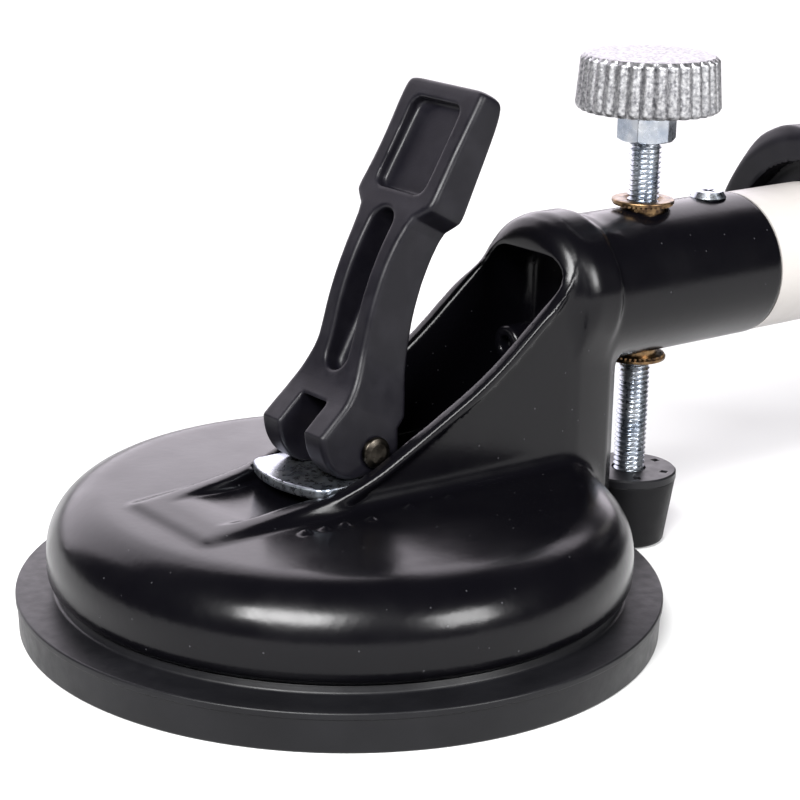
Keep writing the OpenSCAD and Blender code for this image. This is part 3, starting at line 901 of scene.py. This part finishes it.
@dataclass
class CupParts:
    """The pieces of one cup that are turned, ribbed, threaded or knurled. Sizes in millimetres."""

    pad_r: float = 75.0
    pad_rim: float = 9.4
    screw_x: float = 91.2
    pitch: float = 1.25
    knob_top: float = 125.0
    knob_h: float = 13.5
    ribs: int = 32
    upper_z: float = 88.0
    lower_z: float = 50.0
    pin_z: float = 43.5

    def at_screw(self, surface: Surface, height: float = 0.0) -> Surface:
        """Moves a surface from the Z axis to the levelling screw's axis.

        Args:
            surface: the surface.
            height: how far it goes up.

        Returns:
            The moved surface.
        """
        return surface.moved(np.eye(3), (self.screw_x, 0, height))

    def pad(self) -> Surface:
        """Pad: a turned outline with two sealing grooves below and a thin lip round its top.

        Returns:
            The surface.
        """
        path = rounded_path([
            (0.5, 0, 0), (60, 0, 0.3), (60.8, 1.2, 0), (63.2, 1.2, 0), (64, 0, 0.3), (67, 0, 0.3),
            (67.8, 1.2, 0), (70.2, 1.2, 0), (71, 0, 0.3), (self.pad_r - 0.7, 0, 0.7),
            (self.pad_r - 0.35, self.pad_rim - 1.7, 0), (self.pad_r, self.pad_rim - 1.45, 0.2),
            (self.pad_r, self.pad_rim, 0.5), (66, self.pad_rim, 0.8), (65.4, 11.2, 0.3), (56, 11.2, 0),
            (53, 6, 0), (0.5, 6, 0)])
        return turned(path[:, 0], path[:, 1], 256)

    def foot(self) -> Surface:
        """Foot: a rubber cup that widens upward, with a blind bore for the screw's tip.

        Returns:
            The surface.
        """
        path = rounded_path([(0.5, 0.4, 0), (9.6, 0.4, 1.2), (12, 17.4, 0.3), (4.4, 17.4, 0), (4.4, 11.8, 0),
                             (0.5, 11.8, 0)])
        return self.at_screw(turned(path[:, 0], path[:, 1], 96))

    def screw(self) -> Surface:
        """Levelling screw: the radius swings between root and crest along a helix.

        The phase is the height over the pitch minus the angle over a full turn; the radius
        follows a triangle wave of it, cut flat at root and crest.

        Returns:
            The surface.
        """
        low, high, columns, root, depth = 12.0, 120.0, 40, 3.33, 0.66
        height = np.linspace(low, high, int((high - low) / self.pitch * 8))[:, None]
        phase = (height / self.pitch - np.arange(columns) / columns) % 1
        wave = np.clip(np.abs(phase - 0.5) * 2.6 - 0.2, 0, 1)
        radius = root + depth * wave
        radius = np.minimum(radius, np.minimum(height - low, high - height) + 3.2)
        return self.at_screw(turned(radius, height, columns))

    def nut(self) -> Surface:
        """Lock nut: a hexagon's polar radius, held by a cone at both faces, softened at its corners.

        Returns:
            The surface.
        """
        low, high, half_flats, corner, columns = 104.0, 110.5, 6.5, 7.4, 240
        angle = np.arange(columns) * 2 * math.pi / columns
        hexagon = half_flats / np.cos((angle + math.pi / 6) % (math.pi / 3) - math.pi / 6)
        height = np.concatenate([np.linspace(low, low + 1, 7), np.linspace(low + 1.2, high - 1.2, 6),
                                 np.linspace(high - 1, high, 7)])[:, None]
        cone = half_flats + 1.7 * np.minimum(height - low, high - height)
        outer = np.minimum(np.minimum(hexagon, cone), corner)
        edge = np.array([[high, 4.7], [high - 0.5, 4.05], [low + 0.5, 4.05], [low, 4.7]])
        radius = np.concatenate([outer, np.broadcast_to(edge[:, 1:], (len(edge), columns))])
        return self.at_screw(turned(radius, np.concatenate([height, edge[:, :1]]), columns, True))

    def knob(self) -> Surface:
        """Knob: a die-cast disc that narrows upward, its rim in rounded ribs.

        The radius is the outline's less a groove depth times one minus the cosine's magnitude
        of half the rib count times the angle, to the power 0.8.

        Returns:
            The surface.
        """
        top, low = self.knob_top, self.knob_top - self.knob_h
        path = rounded_path([
            (0.4, low + 8.5, 0), (4, low + 8.5, 0), (4, low - 1, 0.3), (8, low - 1, 0.6), (8.2, low, 0.3),
            (17.0, low, 0.6), (17.9, low + 0.9, 0.8), (16.95, top - 0.9, 0.9), (15.7, top, 0.9),
            (12.6, top, 0), (0.4, top, 0)], steps=6)
        columns = self.ribs * 14
        angle = np.arange(columns) * 2 * math.pi / columns
        groove = 1 - np.abs(np.cos(angle * self.ribs / 2)) ** 0.8
        deep = 0.95 * ramp(path[:, 0], 15.6, 16.7)[:, None]
        return self.at_screw(turned(path[:, :1] - deep * groove, path[:, 1:], columns))

    def insert(self, base: float, up: float) -> Surface:
        """Threaded insert: a flange on a sleeve, with fine knurling on the flange's lower edge.

        Args:
            base: height of the flange's seat.
            up: 1 if the flange faces up, -1 if it faces down.

        Returns:
            The surface.
        """
        columns, knurl_r = 240, 7.45
        path = rounded_path([(4.05, -7, 0), (5.5, -7, 0.3), (5.5, 0, 0), (knurl_r, 0, 0), (knurl_r, 0.55, 0),
                             (7.75, 0.6, 0), (7.75, 1.4, 0.35), (5.2, 1.4, 0.2), (4.05, 0.7, 0)], True, 4)
        angle = np.arange(columns) * 2 * math.pi / columns
        knurl = 0.35 * np.abs(np.sin(angle * 20)) * (np.abs(path[:, 0] - knurl_r) < 0.05)[:, None]
        flat = turned(path[:, :1] - knurl, path[:, 1:], columns, True)
        if up < 0:
            flat = flat.moved(np.diag((1.0, -1.0, -1.0)))
        return self.at_screw(flat, base)

    def pin(self) -> Surface:
        """Lever pin: a turned rod along Y with a low domed head.

        Returns:
            The surface.
        """
        path = rounded_path([(0.3, -13.7, 0), (2.2, -13.7, 0.4), (3.5, -13.25, 0.5), (3.65, -12.3, 0.2),
                             (2.99, -12.3, 0), (2.99, 13.4, 0.3), (2.5, 13.8, 0), (0.3, 13.8, 0)], steps=6)
        turn = np.array([(1, 0, 0), (0, 0, 1), (0, -1, 0)])
        return turned(path[:, 0], path[:, 1], 64).moved(turn, (0, 0, self.pin_z))

    def plate(self) -> Surface:
        """Skins the cam plate.

        Returns:
            The surface.
        """
        return skin(self.plate_solid, (spaced((-20.6, 14.8, 0.36)), spaced((-14.6, 14.6, 0.36)),
                                       spaced((34.8, 38.2, 0.3))))

    def plate_solid(self, x: Array, y: Array, z: Array) -> Array:
        """Cam plate: bowed front, straight sides and softened edges, with a hole for the stem.

        Args:
            x, y, z: the points' coordinates.

        Returns:
            The field, negative inside.
        """
        outline = meet(meet(np.hypot(x - 7, y) - 26.3, np.abs(y) - 13.9, 1.6), x - 14, 1.0)
        slab = meet(outline, np.abs(z - 36.5) - 1.2, 0.35)
        return meet(slab, 4.8 - np.hypot(x, y), 0.3)


# ---- The middle of the tool ----


@dataclass
class HandNut:
    """Hand nut: hub, one long lobe that overhangs the tube and two short ones. In millimetres."""

    tube_z: float = 69.0
    turn: float = 26.0
    spread: float = 33.0
    flat: float = 31.0
    crest: float = 33.5
    half: float = 23.0
    hub_r: float = 20.4
    collar_r: float = 17.6
    journal_r: float = 15.05
    thread_r: float = 17.3
    starts: tuple = (149.5, 186.0, 186.0)
    end: float = 213.4
    shape: tuple = ((149, 29.0), (151.8, 33.5), (157, 33.2), (165, 30.8), (175, 28.8), (190, 28), (208, 27.6),
                    (214, 26.6))

    def solid(self, x: Array, y: Array, z: Array) -> Array:
        """The nut: each lobe lies between two flats, under the turned outline.

        Args:
            x, y, z: the points' coordinates.

        Returns:
            The field, negative inside.
        """
        rise = z - self.tube_z
        far = np.hypot(y, rise)
        limit = far - np.interp(x, *np.array(self.shape).T)
        body = meet(meet(far - self.hub_r, 156 - x, 0.8), x - 212, 1.2)
        spread = math.radians(self.spread)
        for start, offset in zip(self.starts, (0, 120, 240)):
            angle = math.radians(self.turn + offset)
            out = y * math.sin(angle) + rise * math.cos(angle)
            aside = np.abs(y * math.cos(angle) - rise * math.sin(angle))
            flats = aside * math.sin(spread) + out * math.cos(spread) - self.flat
            lobe = meet(meet(flats, aside - self.half, 2.0), far - self.crest, 1.5)
            lobe = meet(meet(meet(lobe, limit, 1.0), start - x, 1.0), x - self.end, 2.5)
            body = merge(body, meet(lobe, 8 - out), 1.8)
        collar = meet(far - self.collar_r, meet(152 - x, x - 160))
        relief = meet(meet(far - 23.4, x - 156), self.collar_r - far)
        body = merge(meet(body, -meet(relief, 140 - x)), collar)
        body = meet(body, -meet(far - 19.3, x - 152))
        return meet(meet(body, self.journal_r - far), -meet(far - self.thread_r, 168 - x), 0.4)

    def surface(self) -> Surface:
        """Skins the nut.

        Returns:
            The surface.
        """
        return skin(self.solid, (spaced((148.6, 215, 0.75)), spaced((-34.6, 34.6, 0.75)),
                                 spaced((34.4, 103.6, 0.75))))


@dataclass
class SlidingTube:
    """Right tube: threaded end, painted body and spigot, on one axis along X. In millimetres."""

    tube_z: float = 69.0
    start: float = 198.0
    shoulder: float = 234.0
    mouth: float = 261.0
    end: float = 284.0
    pitch: float = 3.0
    crest_r: float = 16.7
    depth: float = 1.2
    body_r: float = 18.05
    spigot_r: float = 15.0
    bore_r: float = 12.55

    def surface(self) -> Surface:
        """Thread, body and spigot as one turned ring.

        In the thread the radius is the crest's less the depth times a wave of the length over the
        pitch minus the angle over a full turn.

        Returns:
            The surface.
        """
        columns, threaded = 128, 230
        length = np.concatenate([
            np.linspace(self.start, self.shoulder - 2, threaded),
            [self.shoulder, self.shoulder, self.mouth, self.mouth, self.end - 0.6, self.end, self.end,
             self.start]])[:, None]
        plain = np.concatenate([
            np.full(threaded, self.crest_r), [16, self.body_r, self.body_r, self.spigot_r, self.spigot_r,
                                              self.spigot_r - 0.6, self.bore_r, self.bore_r]])[:, None]
        phase = (length / self.pitch - np.arange(columns) / columns) % 1
        wave = np.clip(np.abs(phase - 0.5) * 3 - 0.25, 0, 1)
        rows = np.arange(len(length))[:, None]
        fade = (ramp(length, self.start, self.start + 2)
                * (1 - ramp(length, self.shoulder - 5, self.shoulder - 2)))
        radius = plain - np.where(rows < threaded, self.depth * (1 - wave) * (0.35 + 0.65 * fade), 0)
        ring = turned(radius, length, columns, True)
        turn = np.array([(0, 0, 1), (0, 1, 0), (-1, 0, 0)])
        return ring.moved(turn, (0, 0, self.tube_z))


class SeamSetter:
    """The whole tool: both cups and the middle."""

    spacing = 385.0

    def cup(self) -> list:
        """Makes the new pieces of the left cup.

        Returns:
            (kind, surface, finish, body's ending) for every piece.
        """
        parts = CupParts()
        return [
            ("housing", Casting().surface(), Finish.ENAMEL, "frame"),
            ("rubber_pad", parts.pad(), Finish.RUBBER, "frame"),
            ("lever", LeverShape().surface(), Finish.SATIN, "lever"),
            ("cam_plate", parts.plate(), Finish.ZINC, "frame"),
            ("lever_pin", parts.pin(), Finish.STEEL, "plunger"),
            ("upper_insert", parts.insert(parts.upper_z, 1), Finish.YELLOW_ZINC, "frame"),
            ("lower_insert", parts.insert(parts.lower_z, -1), Finish.YELLOW_ZINC, "frame"),
            ("level_screw", parts.screw(), Finish.ZINC, "screw"),
            ("jam_nut", parts.nut(), Finish.ZINC, "screw"),
            ("level_knob", parts.knob(), Finish.CAST, "screw"),
            ("foot", parts.foot(), Finish.FOOT_RUBBER, "foot"),
        ]

    def build(self) -> None:
        """Adds the pieces of both cups and of the middle."""
        for kind, surface, finish, ending in self.cup():
            for side in ("left", "right"):
                shown = surface if side == "left" else surface.mirrored(self.spacing)
                add_piece(f"{side}_{kind}_shell", shown, finish, f"{side}_{ending}", (f"{side}_{kind}",))
        add_piece("hand_nut_shell", HandNut().surface(), Finish.SATIN, "hand_nut", ("hand_nut",))
        add_piece("right_tube_shell", SlidingTube().surface(), Finish.POWDER, "right_frame", ("right_tube",))


# ---- Carried nodes ----


class CarriedNodes:
    """CAD nodes whose shape is right: they keep their mesh and get a finish."""

    kinds = {
        Finish.ENAMEL: "housing", Finish.SATIN: "lever hand_nut", Finish.RUBBER: "rubber_pad",
        Finish.FOOT_RUBBER: "foot", Finish.MOULDING: "foot_lid", Finish.POWDER: "tube",
        Finish.ZINC: "cam_plate level_screw jam_nut lock_screw key_screw", Finish.CAST: "level_knob",
        Finish.YELLOW_ZINC: "upper_insert lower_insert thrust_washer",
        Finish.STEEL: "core_plate pull_stem lever_pin guide_tube", Finish.SPRING: "pin_clip retaining_ring",
    }

    def dress(self, nodes: dict) -> None:
        """Gives every node its finish.

        Args:
            nodes: the frame's node objects by name.
        """
        finishes = {kind: finish for finish, kinds in self.kinds.items() for kind in kinds.split()}
        for name, node in nodes.items():
            finish = finishes[name.removeprefix("left_").removeprefix("right_")]
            node.data.materials.clear()
            node.data.materials.append(finish.material())


# ---- Studio ----


@dataclass
class Studio:
    """Pale floor, soft boxes and the camera.

    The camera's place is in millimetres and its angles in degrees: down is how far it looks
    below the horizon, turn how far its view is turned from +Y towards +X.
    """

    camera_place: tuple = (-291.93, -394.60, 202.76)
    down: float = 16.977
    turn: float = 38.004
    roll: float = 1.283
    lens: float = 101.26
    floor_size: float = 12.0
    floor_tone: float = 0.5
    floor_glow: float = 0.2
    surroundings: float = 0.03

    def camera(self) -> None:
        """Makes the camera: its axes are worked out from the three angles."""
        down, turn, roll = (math.radians(a) for a in (self.down, self.turn, self.roll))
        ahead = Vector((math.sin(turn) * math.cos(down), math.cos(turn) * math.cos(down), -math.sin(down)))
        level = Vector((math.cos(turn), -math.sin(turn), 0.0))
        above = level.cross(ahead)
        right = level * math.cos(roll) + above * math.sin(roll)
        up = above * math.cos(roll) - level * math.sin(roll)
        data = bpy.data.cameras.new("camera")
        data.lens = self.lens
        data.sensor_width = 36.0
        camera = bpy.data.objects.new("camera", data)
        bpy.context.scene.collection.objects.link(camera)
        turned = Matrix((right, up, -ahead)).transposed().to_4x4()
        camera.matrix_world = Matrix.Translation(Vector(self.camera_place) * MM) @ turned
        bpy.context.scene.camera = camera

    def floor(self) -> None:
        """Makes the floor, a wide pale sheet under the pads."""
        half = self.floor_size / 2
        mesh = bpy.data.meshes.new("floor")
        mesh.from_pydata([(-half, -half, 0), (half, -half, 0), (half, half, 0), (-half, half, 0)], [],
                         [(0, 1, 2, 3)])
        recipe = Recipe("pale_floor")
        recipe.constant(Base_Color=(self.floor_tone,) * 3, Roughness=0.9, Specular_IOR_Level=0.1,
                        Emission_Color=(1.0, 1.0, 1.0), Emission_Strength=self.floor_glow)
        mesh.materials.append(recipe.material)
        sheet = bpy.data.objects.new("floor", mesh)
        bpy.context.scene.collection.objects.link(sheet)
        sheet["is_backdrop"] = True

    def soft_box(self, name: str, place: tuple, aim: tuple, size: tuple, watts: float,
                 colour: tuple = (1.0, 1.0, 1.0)) -> None:
        """Makes a soft box.

        Args:
            name: the lamp's name.
            place: its centre in metres.
            aim: the point that it faces, in metres.
            size: width and height in metres.
            watts: its power.
            colour: its colour.
        """
        data = bpy.data.lights.new(name, "AREA")
        data.color = colour
        data.shape = "RECTANGLE"
        data.size, data.size_y = size
        data.energy = watts
        lamp = bpy.data.objects.new(name, data)
        lamp.location = place
        lamp.rotation_mode = "QUATERNION"
        lamp.rotation_quaternion = (Vector(aim) - Vector(place)).to_track_quat("-Z", "Y")
        bpy.context.scene.collection.objects.link(lamp)

    def lights(self) -> None:
        """Places the soft boxes and the dim surroundings.

        The wide wall behind gives the pale sheen on level faces; the two boxes in front give
        the shoulder its highlights.
        """
        centre = (0.05, 0.0, 0.05)
        self.soft_box("back_wall", (1.25, 2.60, 1.60), centre, (5.8, 3.0), 160, (1.0, 0.935, 1.02))
        self.soft_box("left_front_box", (-1.40, -0.84, 1.50), (-0.05, -0.05, 0.03), (1.15, 0.75), 145)
        self.soft_box("right_front_box", (0.44, -1.90, 1.06), (-0.02, -0.06, 0.03), (0.8, 0.8), 58)
        world = bpy.data.worlds.new("surroundings")
        world.use_nodes = True
        world.node_tree.nodes["Background"].inputs[0].default_value = (1.0, 1.0, 1.0, 1.0)
        world.node_tree.nodes["Background"].inputs[1].default_value = self.surroundings
        bpy.context.scene.world = world
        bpy.context.scene.view_settings.view_transform = "Standard"

    def build(self) -> None:
        """Makes the whole studio."""
        self.camera()
        self.floor()
        self.lights()


def corners() -> list:
    """Measures the shown object.

    Returns:
        Its lowest and highest corners as plain lists.
    """
    return [list(corner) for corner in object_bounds()]


def main() -> None:
    logging.basicConfig(level=logging.INFO, format="%(name)s: %(message)s")
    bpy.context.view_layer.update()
    Studio().build()
    CarriedNodes().dress(frame["nodes"])
    SeamSetter().build()


if __name__ == "__main__":
    main()
